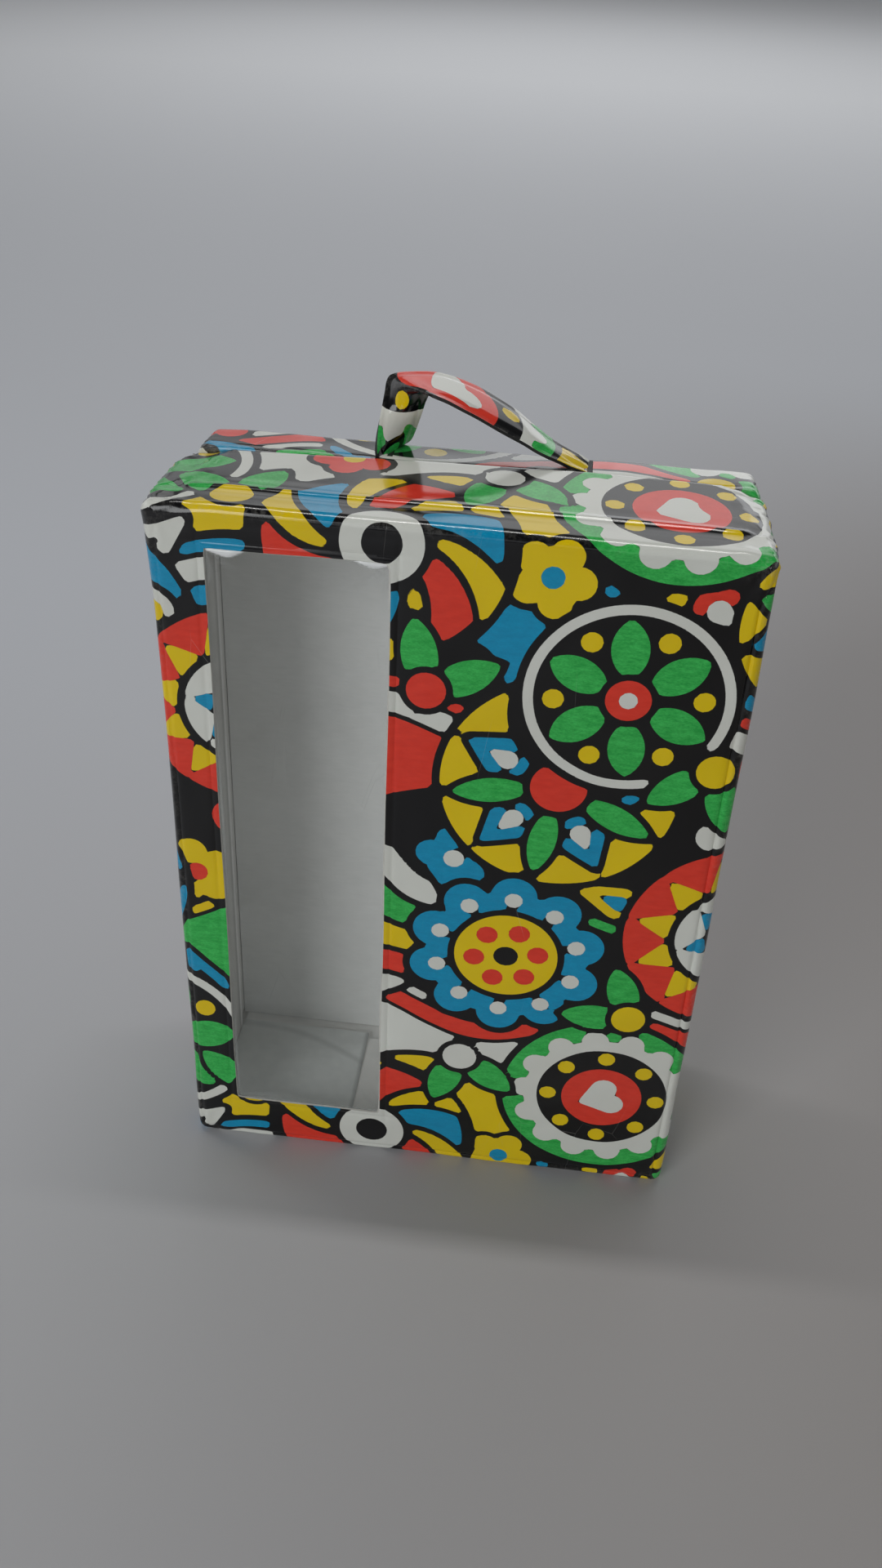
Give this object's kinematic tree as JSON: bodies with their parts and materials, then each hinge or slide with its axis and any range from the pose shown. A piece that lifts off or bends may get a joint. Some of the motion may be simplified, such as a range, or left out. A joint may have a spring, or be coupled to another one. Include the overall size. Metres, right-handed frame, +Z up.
{
  "type": "carrying case",
  "caption": "Upright board carrying case in printed glossy vinyl, with a tall clear window, a hinged back door and a strap handle.",
  "frame": {"origin": "on the resting plane, at the middle of the closed case's width and depth", "axes": "+Z up; -Y out of the front face with the window; +X to the right as the front is seen"},
  "size_m": [0.2218, 0.084, 0.342],
  "materials": {
    "printed_vinyl_front": "glossy printed vinyl, bold flat colours with black outlines",
    "printed_vinyl_door": "glossy printed vinyl, bold flat colours with black outlines",
    "strap_vinyl": "glossy printed vinyl strap, creased",
    "spine_vinyl": "glossy black printed vinyl, folded",
    "clear_vinyl": "clear glossy vinyl, puckered along its top weld",
    "chipboard": "grey-brown chipboard",
    "lining_card": "pale grey paper-faced card, faintly mottled",
    "floor_card": "grey card, faintly smudged",
    "snap_metal": "nickel-plated, lightly scuffed",
    "staple_steel": "bright steel wire"
  },
  "bodies": {
    "front_case": {"front_skin": "printed_vinyl_front", "front_panel_board": "chipboard", "front_top_board": "chipboard", "front_bottom_board": "chipboard", "front_left_board": "chipboard", "front_right_board": "chipboard", "window_sheet": "clear_vinyl", "front_liner": "lining_card", "collar_top": "lining_card", "collar_bottom": "lining_card", "collar_left": "lining_card", "collar_right": "lining_card", "compartment_partition": "lining_card", "floor_card": "floor_card", "spine_front_leaf": "spine_vinyl", "snap_stud": "snap_metal"},
    "back_door": {"door_skin": "printed_vinyl_door", "door_back_board": "chipboard", "door_top_board": "chipboard", "door_bottom_board": "chipboard", "door_left_board": "chipboard", "door_right_board": "chipboard", "door_liner": "lining_card", "spine_door_leaf": "spine_vinyl", "strap_end_left": "strap_vinyl", "strap_end_right": "strap_vinyl", "handle_staples": "staple_steel", "closure_root": "strap_vinyl", "closure_rivet": "snap_metal"},
    "handle": {"handle_strap": "strap_vinyl"},
    "closure": {"closure_tab": "strap_vinyl", "snap_cap": "snap_metal"}
  },
  "joints": [
    {"name": "door_hinge", "type": "hinge", "parent": "front_case", "child": "back_door", "pos_m": [-0.1097, 0.017, 0.156], "axis": [0, 0, 1], "range_deg": [0, 175]},
    {"name": "handle_lean", "type": "hinge", "parent": "back_door", "child": "handle", "pos_m": [0, 0.03, 0.3105], "axis": [1, 0, 0], "range_deg": [-30, 30]},
    {"name": "closure_flap", "type": "hinge", "parent": "back_door", "child": "closure", "pos_m": [0.1087, 0.0202, 0.162], "axis": [0, 0, 1], "range_deg": [0, 150]}
  ]
}
